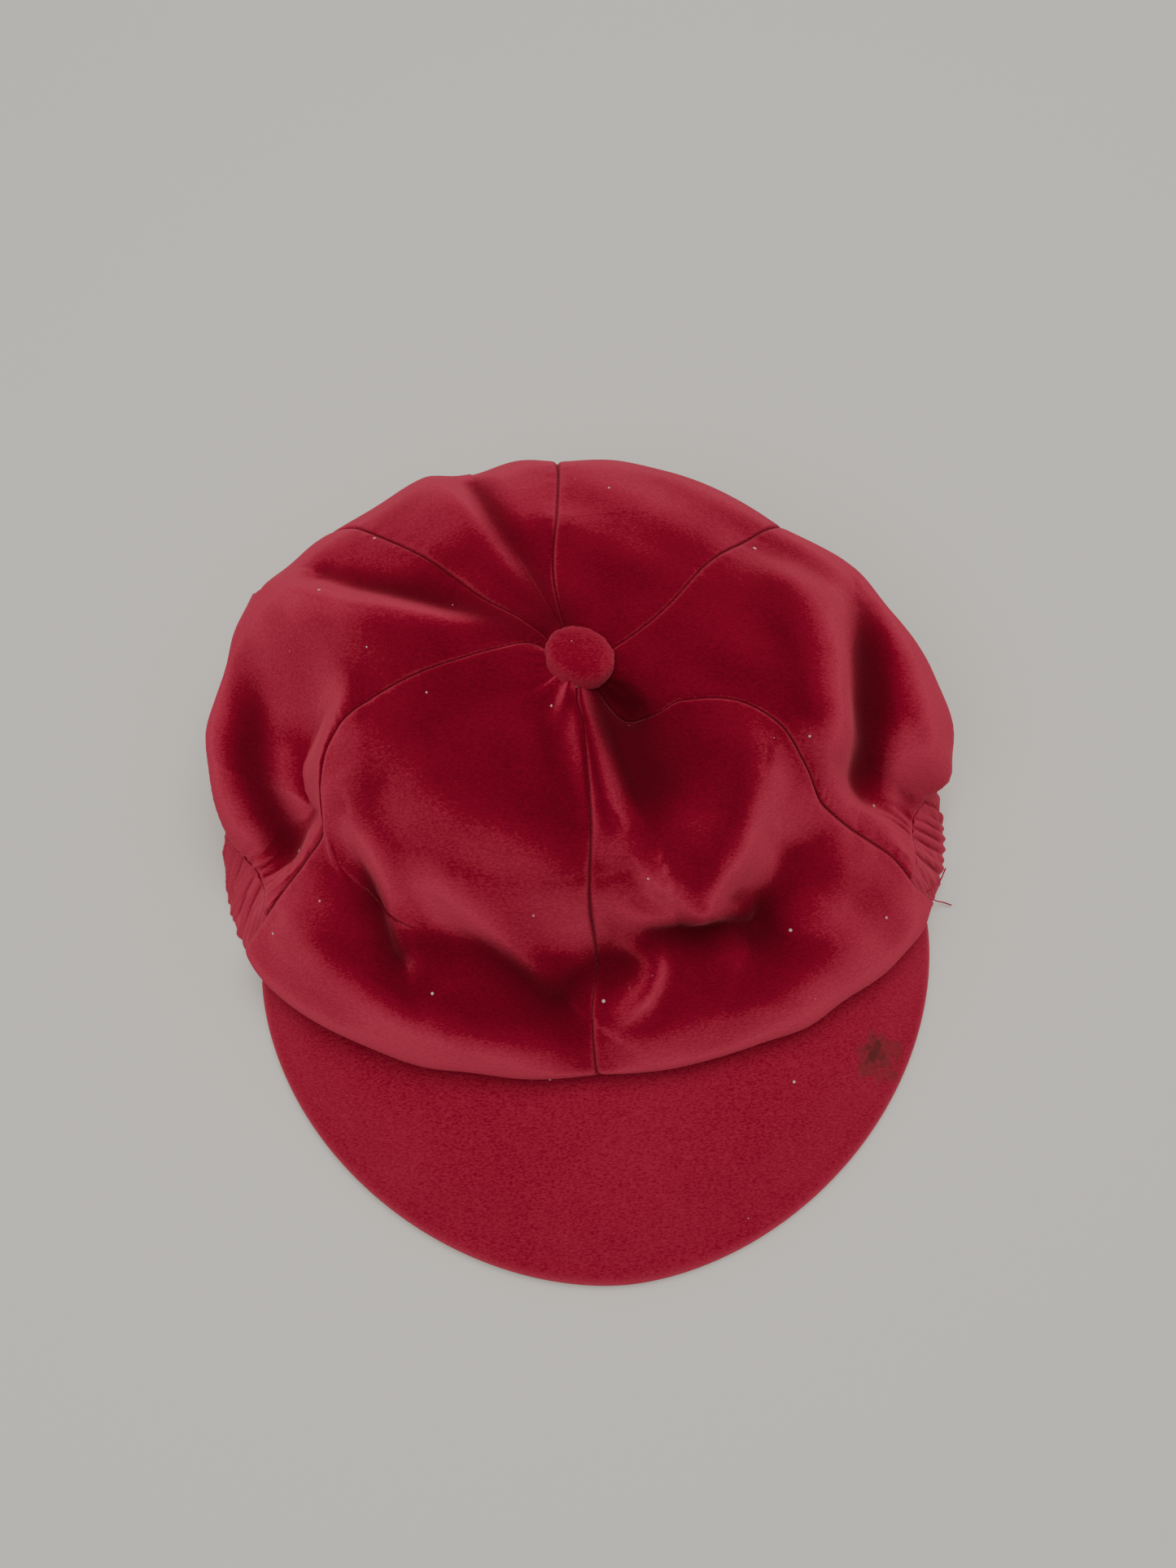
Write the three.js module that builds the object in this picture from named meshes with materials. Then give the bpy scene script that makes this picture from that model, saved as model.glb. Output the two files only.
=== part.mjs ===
// A soft baker-boy cap lying on a flat surface: a six-panel velvet crown with a self-covered button,
// a stiffened peak, an elasticated band round the back, a sweatband and a six-panel lining.
// Units are millimetres and +Z is up. The peak points along -Y and the wearer's left is +X.
// The origin is at the middle of the bounding box, on the surface that the cap lies on.
import * as THREE from "three";

// ---- Head opening, as the relaxed cap lies: two half ellipses that share one width ----
const OPENING_HALF_WIDTH = 113;
const OPENING_FRONT = 69; // from the opening's widest line forward to the peak seam
const OPENING_BACK = 63; // from the opening's widest line back to the band's middle
const FRONT_LIFT = 14; // the peak holds the front of the opening this far off the surface
const LIFT_FADE = 1.5; // exponent: how soon that lift dies away towards the sides

// ---- Cloth ----
const VELVET = 1.2;
const LINING = 0.8;
const STAY = 0.8;
const STAY_TOP_SHARE = 0.55; // a front panel's stay runs from here to here along the panel's length
const STAY_FOOT_SHARE = 0.96;
const GAP = 0.3; // between pieces that touch, and across each seam
const LAYER_GAP = 0.7; // between the curved layers of the crown

// ---- Crown: it rises from the opening to a rim, and closes over to the button ----
const CROWN_HEIGHT = 74;
const RIM_HEIGHT = 32;
const RIM_BACK_LIFT = 18; // how much higher the rim is at the back
const FRONT_OVERHANG = 1; // the rim stands out past the opening by these
const SIDE_OVERHANG = 0;
const BACK_OVERHANG = 46;
const BACK_FADE = 2.6; // exponent: how soon the back's overhang dies away towards the sides
const DOME_FULLNESS = 2.4; // exponent of the top's profile: 2 is an ellipse, and more is fuller
const FRONT_SLUMP = 0.75; // how much less full the profile is at the front
const PANEL_PUFF = 3; // each panel swells this much between its seams
const RIM_SHARE = 0.72; // of a panel's length, from the button to the rim
const SIDE_SEAM = 66; // degrees round the opening from the peak's middle to the front panels' side seams
const BACK_SEAM = 122; // degrees round the opening to the seams behind those

// ---- Peak: three layers from the opening to its outer edge ----
const PEAK_HALF_WIDTH = 103;
const PEAK_DEPTH = 58; // from the front seam to the outer edge, along the middle
const PEAK_ROOT = 30; // how far in front of the opening's widest line the peak is widest
const PEAK_ROUNDNESS = 1.08; // exponent of the outer edge: 1 is an ellipse, and more is less square
const PEAK_HALF_ANGLE = 63.5; // degrees round the opening that each half of the peak covers
const PEAK_SWEEP = 88; // degrees of the outer edge's half ellipse that each half of the peak uses
const PEAK_CAMBER = 3; // how far the peak's middle bows up
const PEAK_DROOP = 1.2; // exponent of the fall from the seam to the edge: 1 is straight
const PEAK_TUCK = 2.6; // the peak's inner edge reaches this far in under the front panels
const BOARD = 1.5;

// ---- Band, elastic and sweatband ----
const BAND_HEIGHT = 20;
const ELASTIC = 1;
const SWEATBAND_HEIGHT = 22;
const SWEATBAND = 1;
const SWEATBAND_FOOT = 1; // the sweatband's lower edge stays this far above the opening's

// ---- Button, centred over the crown's top ----
const BUTTON_BACK_SHIFT = 32; // behind the opening's widest line
const BUTTON_DIAMETER = 16;
const BUTTON_HEIGHT = 6.5;
const BUTTON_TILT = 7; // degrees, leaning to the front
const BUTTON_SHELL = 0.6;
const BUTTON_CREASE = 1.4; // the radius of the cover's turned edge
const BUTTON_TURN_IN = 3; // the cover reaches this far in under the shell
const RIVET_RADIUS = 1;
const RIVET_CLINCH = 0.8;
const HOLE_RADIUS = 3; // left in the middle of the crown and the lining for the rivet
const WASHER_RADIUS = 6;
const WASHER = 0.8;

// ---- Care label, a blank folded tab on the sweatband ----
const LABEL_WIDTH = 24;
const LABEL_HEIGHT = 16;
const LABEL = 0.6;
const LABEL_DROP = 2; // below the sweatband's top edge
const LABEL_ANGLE = 150; // degrees round the opening from the peak's middle

// ---- Mesh density ----
const PANEL_STEPS_ROUND = 8;
const PANEL_STEPS_DOWN = 15;
const LINING_STEPS_ROUND = 6;
const LINING_STEPS_DOWN = 10;
const STAY_STEPS = 6;
const PEAK_STEPS_ROUND = 28;
const PEAK_STEPS_OUT = 5;
const BAND_STEPS = 36;
const SWEATBAND_STEPS = 52;
const LATHE_STEPS = 24;

const VELVET_RED = 0x8e1020;
const material = (color, roughness, metalness = 0) =>
  new THREE.MeshStandardMaterial({ color, roughness, metalness });
const velvet = material(VELVET_RED, 0.9);
const liningCloth = material(0x7a1420, 0.55);
const sweatbandCloth = material(0x5c0f18, 0.8);
const elasticCloth = material(0xe8e4da, 0.7);
const stayCloth = material(0xd9d3c6, 0.85);
const boardPlastic = material(0x2b2b2d, 0.6);
const buttonMetal = material(0xb9bbbe, 0.35, 1);
const labelCloth = material(0xf1efe9, 0.7);

const radians = THREE.MathUtils.degToRad;
const lerp = THREE.MathUtils.lerp;
const point = (x, y, z) => new THREE.Vector3(x, y, z);
const steps = (count) => Array.from({ length: count + 1 }, (_, i) => i / count);

// ---------------------------------------------------------------- closed solids

/** A geometry from points and triangles, with its faces turned outwards. */
function solid(points, triangles) {
  const volume = triangles.reduce((sum, [a, b, c]) => {
    const normal = new THREE.Vector3().crossVectors(points[b], points[c]);
    return sum + points[a].dot(normal);
  }, 0);
  const index = triangles.flatMap(([a, b, c]) => (volume < 0 ? [a, c, b] : [a, b, c]));
  const geometry = new THREE.BufferGeometry().setFromPoints(points).setIndex(index);
  geometry.computeVertexNormals();
  return geometry;
}

/** A sheet between two grids of points, outer[i][j] and inner[i][j]. A closed one has no end rows. */
function shell(outer, inner, closed = false) {
  const rows = outer.length;
  const columns = outer[0].length;
  const points = [...outer.flat(), ...inner.flat()];
  const onOuter = (i, j) => (i % rows) * columns + j;
  const onInner = (i, j) => rows * columns + onOuter(i, j);
  const triangles = [];
  const quad = (a, b, c, d) => triangles.push([a, b, c], [a, c, d]);
  for (let i = 0; i < (closed ? rows : rows - 1); i++) {
    for (let j = 0; j < columns - 1; j++) {
      quad(onOuter(i, j), onOuter(i + 1, j), onOuter(i + 1, j + 1), onOuter(i, j + 1));
      quad(onInner(i, j), onInner(i, j + 1), onInner(i + 1, j + 1), onInner(i + 1, j));
    }
    const last = columns - 1;
    quad(onOuter(i, 0), onInner(i, 0), onInner(i + 1, 0), onOuter(i + 1, 0));
    quad(onOuter(i, last), onOuter(i + 1, last), onInner(i + 1, last), onInner(i, last));
  }
  for (let j = 0; j < columns - 1 && !closed; j++) {
    const end = rows - 1;
    quad(onOuter(0, j), onOuter(0, j + 1), onInner(0, j + 1), onInner(0, j));
    quad(onOuter(end, j), onInner(end, j), onInner(end, j + 1), onOuter(end, j + 1));
  }
  return solid(points, triangles);
}

/** A bar with the same number of section points at each station, closed by a flat face at both ends. */
function bar(stations, sectionOutline) {
  const corners = sectionOutline.length;
  const points = stations.flat();
  const triangles = [];
  for (let i = 0; i < stations.length - 1; i++) {
    for (let j = 0; j < corners; j++) {
      const [a, b] = [i * corners + j, i * corners + ((j + 1) % corners)];
      triangles.push([a, b, b + corners], [a, b + corners, a + corners]);
    }
  }
  const last = (stations.length - 1) * corners;
  for (const [a, b, c] of THREE.ShapeUtils.triangulateShape(sectionOutline, [])) {
    // The section runs anticlockwise, so its own triangles face along the bar at the far end.
    triangles.push([a, c, b], [last + a, last + b, last + c]);
  }
  return solid(points, triangles);
}

/** A turned piece from its closed profile of [radius, height] pairs. */
function turned(profile) {
  const outline = [...profile, profile[0]].map(([radius, height]) => new THREE.Vector2(radius, height));
  return new THREE.LatheGeometry(outline, LATHE_STEPS).rotateX(Math.PI / 2);
}

// ---------------------------------------------------------------- opening and crown surface

/** How far round from the front an angle is: 1 at the front, 0 at the sides. */
const frontShare = (angle) => Math.max(0, Math.cos(angle));
const backShare = (angle) => Math.max(0, -Math.cos(angle));

/** The opening's edge at an angle from the peak's middle, moved in by inset. */
function openingPoint(angle, inset, height) {
  const depth = Math.cos(angle) > 0 ? OPENING_FRONT : OPENING_BACK;
  const [sine, cosine] = [Math.sin(angle), Math.cos(angle)];
  const outward = new THREE.Vector2(sine / OPENING_HALF_WIDTH, -cosine / depth).normalize();
  return point(
    OPENING_HALF_WIDTH * sine - outward.x * inset,
    -depth * cosine - outward.y * inset,
    height,
  );
}

/** The height of the opening's edge, which the peak lifts at the front. */
const edgeHeight = (angle) => FRONT_LIFT * frontShare(angle) ** LIFT_FADE;

const PEAK_THICKNESS = 2 * VELVET + BOARD + 2 * GAP;
const buttonSeat = point(0, BUTTON_BACK_SHIFT, CROWN_HEIGHT);

/** Where the crown turns under, at an angle from the peak's middle. */
function rimPoint(angle) {
  const side = SIDE_OVERHANG * Math.sin(angle) ** 2;
  const overhang = FRONT_OVERHANG + side + BACK_OVERHANG * backShare(angle) ** BACK_FADE;
  return openingPoint(angle, -overhang, RIM_HEIGHT + RIM_BACK_LIFT * backShare(angle) ** 2);
}

/** The crown's outer surface, without puff: share runs from 0 at the button to 1 at the foot. */
function smoothCrown(angle, share, foot) {
  const rim = rimPoint(angle);
  if (share <= RIM_SHARE) {
    const turn = (share / RIM_SHARE) * (Math.PI / 2);
    const exponent = 2 / (DOME_FULLNESS - FRONT_SLUMP * frontShare(angle));
    const out = Math.sin(turn) ** exponent;
    return point(
      lerp(buttonSeat.x, rim.x, out),
      lerp(buttonSeat.y, rim.y, out),
      lerp(rim.z, CROWN_HEIGHT, Math.max(0, Math.cos(turn)) ** exponent),
    );
  }
  const turn = ((share - RIM_SHARE) / (1 - RIM_SHARE)) * (Math.PI / 2);
  const end = foot(angle);
  const inward = 1 - Math.cos(turn);
  return point(lerp(rim.x, end.x, inward), lerp(rim.y, end.y, inward), lerp(rim.z, end.z, Math.sin(turn)));
}

/** The crown surface's outward normal, and its length round the crown for one radian. */
function crownFrame(angle, share, foot) {
  const step = 1e-3;
  const round = smoothCrown(angle + step, share, foot).sub(smoothCrown(angle - step, share, foot));
  const below = smoothCrown(angle, Math.min(1, share + step), foot);
  const down = below.sub(smoothCrown(angle, share - step, foot));
  const normal = new THREE.Vector3().crossVectors(down, round).normalize();
  return { normal, pace: round.length() / (2 * step) };
}

/** A point depth below the crown's outer surface. */
function crownPoint(angle, share, foot, depth) {
  return smoothCrown(angle, share, foot).addScaledVector(crownFrame(angle, share, foot).normal, -depth);
}

/** The share of a panel's length at which the layer at this depth comes down to a height, at one angle. */
function shareAt(angle, height, foot, depth) {
  let [above, below] = [0, 1];
  for (let i = 0; i < 30; i++) {
    const share = (above + below) / 2;
    if (crownPoint(angle, share, foot, depth).z > height) above = share;
    else below = share;
  }
  return above;
}

/** Points depth below the crown's outer surface, over one panel, from the share first to last(angle). */
function crownGrid({ from, to, foot }, depth, first, last, [roundSteps, downSteps], trim) {
  const [start, end] = [radians(from), radians(to)];
  return steps(roundSteps).map((across) =>
    steps(downSteps).map((along) => {
      const reach = last(lerp(start, end, across));
      const share = lerp(first, reach, along);
      const edge = trim / crownFrame((start + end) / 2, share, foot).pace;
      const angle = lerp(start + edge, end - edge, across);
      const swell = PANEL_PUFF * Math.sin(Math.PI * across) * Math.sin(Math.PI * share) ** 2;
      return crownPoint(angle, share, foot, depth - swell);
    }),
  );
}

/** The front panels end on the peak, and the others on the band's top edge. */
const footOnPeak = (angle) => openingPoint(angle, 0, edgeHeight(angle) + PEAK_THICKNESS + GAP);
const footOnBand = (angle) => openingPoint(angle, 0, BAND_HEIGHT + GAP);

const PANELS = [
  { name: "front_left", from: 0, to: SIDE_SEAM, foot: footOnPeak },
  { name: "side_left", from: SIDE_SEAM, to: BACK_SEAM, foot: footOnBand },
  { name: "back_left", from: BACK_SEAM, to: 180, foot: footOnBand },
  { name: "back_right", from: 180, to: 360 - BACK_SEAM, foot: footOnBand },
  { name: "side_right", from: 360 - BACK_SEAM, to: 360 - SIDE_SEAM, foot: footOnBand },
  { name: "front_right", from: 360 - SIDE_SEAM, to: 360, foot: footOnPeak },
];

/** The share of a panel's length that leaves a hole of this radius open at the button. */
function topShare(radius) {
  const turn = Math.asin((radius / OPENING_FRONT) ** (DOME_FULLNESS / 2));
  return (RIM_SHARE * turn) / (Math.PI / 2);
}

/** One layer of a panel: its outer face is depth below the crown's outer surface. */
function crownLayer(panel, depth, thickness, first, last, grid, trim) {
  const face = (below) => crownGrid(panel, below, first, last, grid, trim);
  return shell(face(depth), face(depth + thickness));
}

const panelSteps = [PANEL_STEPS_ROUND, PANEL_STEPS_DOWN];
const crownPanel = (panel) =>
  crownLayer(panel, 0, VELVET, topShare(HOLE_RADIUS), () => 1, panelSteps, GAP / 2);

const STAY_DEPTH = VELVET + LAYER_GAP;
const LINING_DEPTH = STAY_DEPTH + STAY + LAYER_GAP;

/** The lining comes down to the sweatband's top edge, where it is sewn on. */
function liningPanel(panel) {
  const last = (angle) => shareAt(angle, sweatbandHigh(angle) + GAP, panel.foot, LINING_DEPTH + LINING);
  const grid = [LINING_STEPS_ROUND, LINING_STEPS_DOWN];
  return crownLayer(panel, LINING_DEPTH, LINING, topShare(HOLE_RADIUS), last, grid, GAP);
}

/** A stiff cloth stay behind the lower part of one front panel. */
function frontStay(panel) {
  const grid = [LINING_STEPS_ROUND, STAY_STEPS];
  return crownLayer(panel, STAY_DEPTH, STAY, STAY_TOP_SHARE, () => STAY_FOOT_SHARE, grid, GAP);
}

// ---------------------------------------------------------------- peak

/** A point of the peak's underside: across runs from -1 to 1, and out from the seam to the edge's inset. */
function peakPoint(across, out, inset = 0) {
  const angle = radians(PEAK_HALF_ANGLE) * across;
  const seam = openingPoint(angle, PEAK_TUCK, 0);
  const sweep = radians(PEAK_SWEEP) * across;
  const [sine, cosine] = [Math.sin(sweep), Math.cos(sweep)];
  const edge = point(
    Math.sign(sine) * PEAK_HALF_WIDTH * Math.abs(sine) ** PEAK_ROUNDNESS,
    -PEAK_ROOT - (OPENING_FRONT + PEAK_DEPTH - PEAK_ROOT) * cosine ** PEAK_ROUNDNESS,
    0,
  );
  const share = out * (1 - inset / seam.distanceTo(edge));
  const place = seam.lerp(edge, share);
  place.z = edgeHeight(angle) * (1 - share) ** PEAK_DROOP + PEAK_CAMBER * Math.sin(Math.PI * share) * cosine;
  return place;
}

const raised = (place, height) => place.clone().add(point(0, 0, height));

/** One flat layer of the peak, between two heights above its underside. */
function peakLayer(bottom, thickness, inset) {
  const grid = (height) =>
    steps(PEAK_STEPS_ROUND).map((round) =>
      steps(PEAK_STEPS_OUT).map((out) => raised(peakPoint(2 * round - 1, out, inset), height)),
    );
  return shell(grid(bottom + thickness), grid(bottom));
}

/** The peak's top cover, with its edge turned down over the board. */
function peakTopCover() {
  const under = VELVET + GAP + BOARD + GAP;
  const outs = steps(PEAK_STEPS_OUT);
  const stations = steps(PEAK_STEPS_ROUND).map((round) => {
    const across = 2 * round - 1;
    const line = (inset, height) => outs.map((out) => raised(peakPoint(across, out, inset), height));
    const lip = [VELVET, 0].map((inset) => raised(peakPoint(across, 1, inset), VELVET + GAP));
    return [...line(VELVET, under), ...lip, ...line(0, under + VELVET).reverse()];
  });
  // The bow keeps these points off one straight line, so that the end faces use every one of them.
  const inner = PEAK_DEPTH - VELVET;
  const bowed = (length, height) =>
    outs.map((out) => new THREE.Vector2(out * length, height + PEAK_CAMBER * Math.sin(Math.PI * out)));
  const lip = [inner, PEAK_DEPTH].map((length) => new THREE.Vector2(length, -BOARD - GAP));
  return bar(stations, [...bowed(inner, 0), ...lip, ...bowed(PEAK_DEPTH, VELVET).reverse()]);
}

// ---------------------------------------------------------------- band, elastic, sweatband and label

const ELASTIC_INSET = VELVET + GAP;
const BAND_DEPTH = 2 * VELVET + ELASTIC + 2 * GAP;
const bandAngles = steps(BAND_STEPS).map((share) => {
  const start = radians(SIDE_SEAM + 0.2);
  return lerp(start, 2 * Math.PI - start, share);
});

/** The velvet band, folded up round the elastic like a trough. */
function bandCasing() {
  const outline = [
    [0, 0],
    [BAND_DEPTH, 0],
    [BAND_DEPTH, BAND_HEIGHT],
    [BAND_DEPTH - VELVET, BAND_HEIGHT],
    [BAND_DEPTH - VELVET, VELVET],
    [VELVET, VELVET],
    [VELVET, BAND_HEIGHT],
    [0, BAND_HEIGHT],
  ];
  const section = (angle) => outline.map(([inset, height]) => openingPoint(angle, inset, height));
  return bar(bandAngles.map(section), outline.map(([x, y]) => new THREE.Vector2(x, y)));
}

/** An upright strip that follows the opening, between two heights given for each angle. */
function strip(angles, inset, thickness, low, high, closed) {
  const wall = (depth) =>
    angles.map((angle) => [low, high].map((edge) => openingPoint(angle, depth, edge(angle))));
  return shell(wall(inset), wall(inset + thickness), closed);
}

function elasticStrip() {
  const [low, high] = [VELVET + GAP, BAND_HEIGHT - GAP];
  return strip(bandAngles, ELASTIC_INSET, ELASTIC, () => low, () => high, false);
}

const SWEATBAND_INSET = BAND_DEPTH + GAP;
const sweatbandLow = (angle) => edgeHeight(angle) + SWEATBAND_FOOT;
const sweatbandHigh = (angle) => sweatbandLow(angle) + SWEATBAND_HEIGHT;

function sweatband() {
  const angles = steps(SWEATBAND_STEPS).slice(0, -1).map((share) => 2 * Math.PI * share);
  return strip(angles, SWEATBAND_INSET, SWEATBAND, sweatbandLow, sweatbandHigh, true);
}

function careLabel() {
  const middle = radians(LABEL_ANGLE);
  const span = LABEL_WIDTH / OPENING_HALF_WIDTH;
  const angles = steps(4).map((share) => middle + span * (share - 0.5));
  const top = (angle) => sweatbandHigh(angle) - LABEL_DROP;
  const inset = SWEATBAND_INSET + SWEATBAND + GAP;
  return strip(angles, inset, LABEL, (angle) => top(angle) - LABEL_HEIGHT, top, false);
}

// ---------------------------------------------------------------- button, from its underside at height 0

const buttonRadius = BUTTON_DIAMETER / 2;
const tiltSine = Math.sin(radians(BUTTON_TILT));
const buttonRaise = buttonRadius * tiltSine; // lifts the tilted button's lowest edge clear of the crown

/** Points of a dome from its edge to its middle. */
function dome(radius, low, high, count = 6) {
  return steps(count).map((share) => {
    const turn = (share * Math.PI) / 2;
    return [Math.max(0, radius * Math.cos(turn)), lerp(low, high, Math.sin(turn))];
  });
}

/** The velvet cover: a dome whose edge turns in under the shell. */
function buttonCover() {
  const inside = buttonRadius - VELVET;
  const outer = dome(buttonRadius, BUTTON_CREASE, BUTTON_HEIGHT);
  const inner = dome(inside, VELVET + BUTTON_CREASE / 2, BUTTON_HEIGHT - VELVET).reverse();
  const turnedIn = buttonRadius - BUTTON_TURN_IN;
  const under = [[turnedIn, 0], [buttonRadius - BUTTON_CREASE / 2, 0]];
  return turned([...under, ...outer, ...inner, [inside, VELVET], [turnedIn, VELVET]]);
}

const shellLow = VELVET + GAP;
const shellRadius = buttonRadius - VELVET - GAP;

/** The pressed metal dome under the cover. */
function buttonShell() {
  const [low, high] = [shellLow + BUTTON_CREASE / 2, BUTTON_HEIGHT - VELVET - GAP];
  const outer = dome(shellRadius, low, high);
  const inside = shellRadius - BUTTON_SHELL;
  const inner = dome(inside, low, high - BUTTON_SHELL).reverse();
  return turned([[shellRadius, shellLow], ...outer, ...inner, [inside, shellLow]]);
}

/** A flat ring round the rivet, between two heights. */
function washer(radius, low, high) {
  const hole = RIVET_RADIUS + GAP;
  return turned([[hole, low], [radius, low], [radius, high], [hole, high]]);
}

/** The plate that snaps into the shell and grips the cover's edge. */
const buttonPlate = () => washer(shellRadius - BUTTON_SHELL - GAP, shellLow, shellLow + BUTTON_SHELL);

/** The rivet: its head is over the plate, and it ends in a clinch under the washer inside the crown. */
const washerTop = -(LINING_DEPTH + LINING + GAP + buttonRaise + WASHER_RADIUS * tiltSine);
function buttonRivet() {
  const headLow = shellLow + BUTTON_SHELL + GAP;
  const clinch = washerTop - WASHER - GAP;
  const head = 3 * RIVET_RADIUS;
  return turned([
    [0, clinch - RIVET_CLINCH],
    [2 * RIVET_RADIUS, clinch - RIVET_CLINCH],
    [2 * RIVET_RADIUS, clinch],
    [RIVET_RADIUS, clinch],
    [RIVET_RADIUS, headLow],
    [head, headLow],
    [head, headLow + BUTTON_SHELL],
    [0, headLow + BUTTON_SHELL],
  ]);
}

const buttonWasher = () => washer(WASHER_RADIUS, washerTop - WASHER, washerTop);

// ---------------------------------------------------------------- assembly

function mesh(name, geometry, cloth) {
  const made = new THREE.Mesh(geometry, cloth);
  made.name = name;
  return made;
}

const button = new THREE.Group();
button.position.copy(buttonSeat).z += buttonRaise;
button.rotation.x = radians(BUTTON_TILT);
button.add(
  mesh("button_cover", buttonCover(), velvet),
  mesh("button_shell", buttonShell(), buttonMetal),
  mesh("button_plate", buttonPlate(), buttonMetal),
  mesh("button_rivet", buttonRivet(), buttonMetal),
  mesh("button_washer", buttonWasher(), buttonMetal),
);

const cap = new THREE.Group();
for (const panel of PANELS) {
  cap.add(mesh("crown_panel_" + panel.name, crownPanel(panel), velvet));
  cap.add(mesh("lining_panel_" + panel.name, liningPanel(panel), liningCloth));
  if (panel.foot === footOnPeak) cap.add(mesh("stay_" + panel.name, frontStay(panel), stayCloth));
}
cap.add(
  button,
  mesh("peak_under_cover", peakLayer(0, VELVET, 0), velvet),
  mesh("peak_board", peakLayer(VELVET + GAP, BOARD, VELVET + GAP), boardPlastic),
  mesh("peak_top_cover", peakTopCover(), velvet),
  mesh("band_casing", bandCasing(), velvet),
  mesh("elastic_strip", elasticStrip(), elasticCloth),
  mesh("sweatband", sweatband(), sweatbandCloth),
  mesh("care_label", careLabel(), labelCloth),
);

// The peak's edge and the crown's back rim are the ends of the bounding box.
const frontEnd = -(OPENING_FRONT + PEAK_DEPTH);
const backEnd = rimPoint(Math.PI).y;
cap.position.y = -(frontEnd + backEnd) / 2;

const part = new THREE.Group();
part.add(cap);
export default part;
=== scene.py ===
"""A red velvet baker boy cap lying on a pale floor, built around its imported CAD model.

The crown is one lofted surface, cut along six seam lines into its panels, with the folds that the
cap lies in laid over it. The lining and the stays follow the same surface further in.
Shapes are worked out in millimetres in the CAD's frame, and turned into metres as meshes are made.
"""

import math

import bpy
import numpy as np
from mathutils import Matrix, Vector


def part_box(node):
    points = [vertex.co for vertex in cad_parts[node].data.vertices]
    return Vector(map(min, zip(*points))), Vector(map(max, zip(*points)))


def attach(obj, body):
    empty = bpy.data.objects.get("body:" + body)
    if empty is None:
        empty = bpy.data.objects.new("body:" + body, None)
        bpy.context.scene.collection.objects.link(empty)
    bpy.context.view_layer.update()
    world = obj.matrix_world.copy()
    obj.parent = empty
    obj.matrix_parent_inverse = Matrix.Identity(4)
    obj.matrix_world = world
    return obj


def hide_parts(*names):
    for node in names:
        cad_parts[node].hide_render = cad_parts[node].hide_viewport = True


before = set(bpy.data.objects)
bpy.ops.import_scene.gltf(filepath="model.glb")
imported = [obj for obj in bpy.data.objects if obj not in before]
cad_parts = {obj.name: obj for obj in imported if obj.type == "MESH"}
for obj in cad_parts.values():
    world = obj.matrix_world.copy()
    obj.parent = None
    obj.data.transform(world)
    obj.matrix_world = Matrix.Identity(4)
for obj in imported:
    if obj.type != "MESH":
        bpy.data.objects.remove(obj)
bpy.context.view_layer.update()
BODY = "root"
MM = 0.001


def box_mm(node):
    low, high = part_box(node)
    return np.array(low) / MM, np.array(high) / MM


# ---------------------------------------------------------------- sizes, from the frame
BAND_HIGH = box_mm("band_casing")[1]
PEAK_LOW, PEAK_HIGH = box_mm("peak_top_cover")
BUTTON_LOW, BUTTON_HIGH = box_mm("button_cover")
CROWN_TOP = box_mm("crown_panel_side_left")[1][2]
CENTRE_Y = BAND_HIGH[1] - 63.0  # the widest line of the head opening
HALF_WIDTH = BAND_HIGH[0]
OPENING_FRONT = 69.0
OPENING_BACK = BAND_HIGH[1] - CENTRE_Y
FRONT_LIFT = 14.0
BUTTON = np.array([0.0, (BUTTON_LOW[1] + BUTTON_HIGH[1]) / 2])
PEAK_THICKNESS = 4.5
VELVET = 1.2
LINING = 0.8
FRONT_SEAM = 66.0  # degrees round the opening, from the peak's middle to the temple
BACK_SEAM = 122.0

# ---------------------------------------------------------------- curves


def slopes(xs, ys):
    """Slopes at each key that keep a curve through the keys from overshooting."""
    h = np.diff(xs).reshape(-1, *[1] * (ys.ndim - 1))
    d = np.diff(ys, axis=0) / h
    m = np.zeros_like(ys)
    m[0], m[-1] = d[0], d[-1]
    w1, w2 = 2 * h[1:] + h[:-1], h[1:] + 2 * h[:-1]
    same = d[:-1] * d[1:] > 0
    safe0, safe1 = np.where(same, d[:-1], 1.0), np.where(same, d[1:], 1.0)
    m[1:-1] = np.where(same, (w1 + w2) / (w1 / safe0 + w2 / safe1), 0.0)
    return m


def curve(x, xs, ys):
    """A smooth curve through the keys (xs, ys), at x. With ys of shape (keys, n), each x has its own heights."""
    xs, ys, x = np.asarray(xs, float), np.asarray(ys, float), np.asarray(x, float)
    m = slopes(xs, ys)
    i = np.clip(np.searchsorted(xs, x, side="right") - 1, 0, len(xs) - 2)
    h = xs[i + 1] - xs[i]
    t = np.clip((x - xs[i]) / h, 0, 1)
    if ys.ndim == 1:
        pick = lambda table, k: table[k]
    else:
        n = np.arange(len(x))
        pick = lambda table, k: table[k, n]
    t2, t3 = t * t, t * t * t
    return (
        (2 * t3 - 3 * t2 + 1) * pick(ys, i)
        + (t3 - 2 * t2 + t) * h * pick(m, i)
        + (3 * t2 - 2 * t3) * pick(ys, i + 1)
        + (t3 - t2) * h * pick(m, i + 1)
    )


def round_curve(degrees, keys, ys):
    """A smooth closed curve round the cap, from keys at angles between -180 and 180 degrees."""
    keys, ys = np.asarray(keys, float), np.asarray(ys, float)
    around = np.concatenate([keys[-3:] - 360, keys, keys[:3] + 360])
    return curve((np.asarray(degrees) + 180) % 360 - 180, around, np.concatenate([ys[-3:], ys, ys[:3]]))


def through(points, count=60):
    """Evenly spread points along a smooth curve through the given ones."""
    p = np.asarray(points, float)
    s = np.concatenate([[0], np.cumsum(np.linalg.norm(np.diff(p, axis=0), axis=1))])
    at = np.linspace(0, s[-1], count)
    return np.stack([curve(at, s, p[:, k]) for k in range(p.shape[1])], 1)


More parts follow.
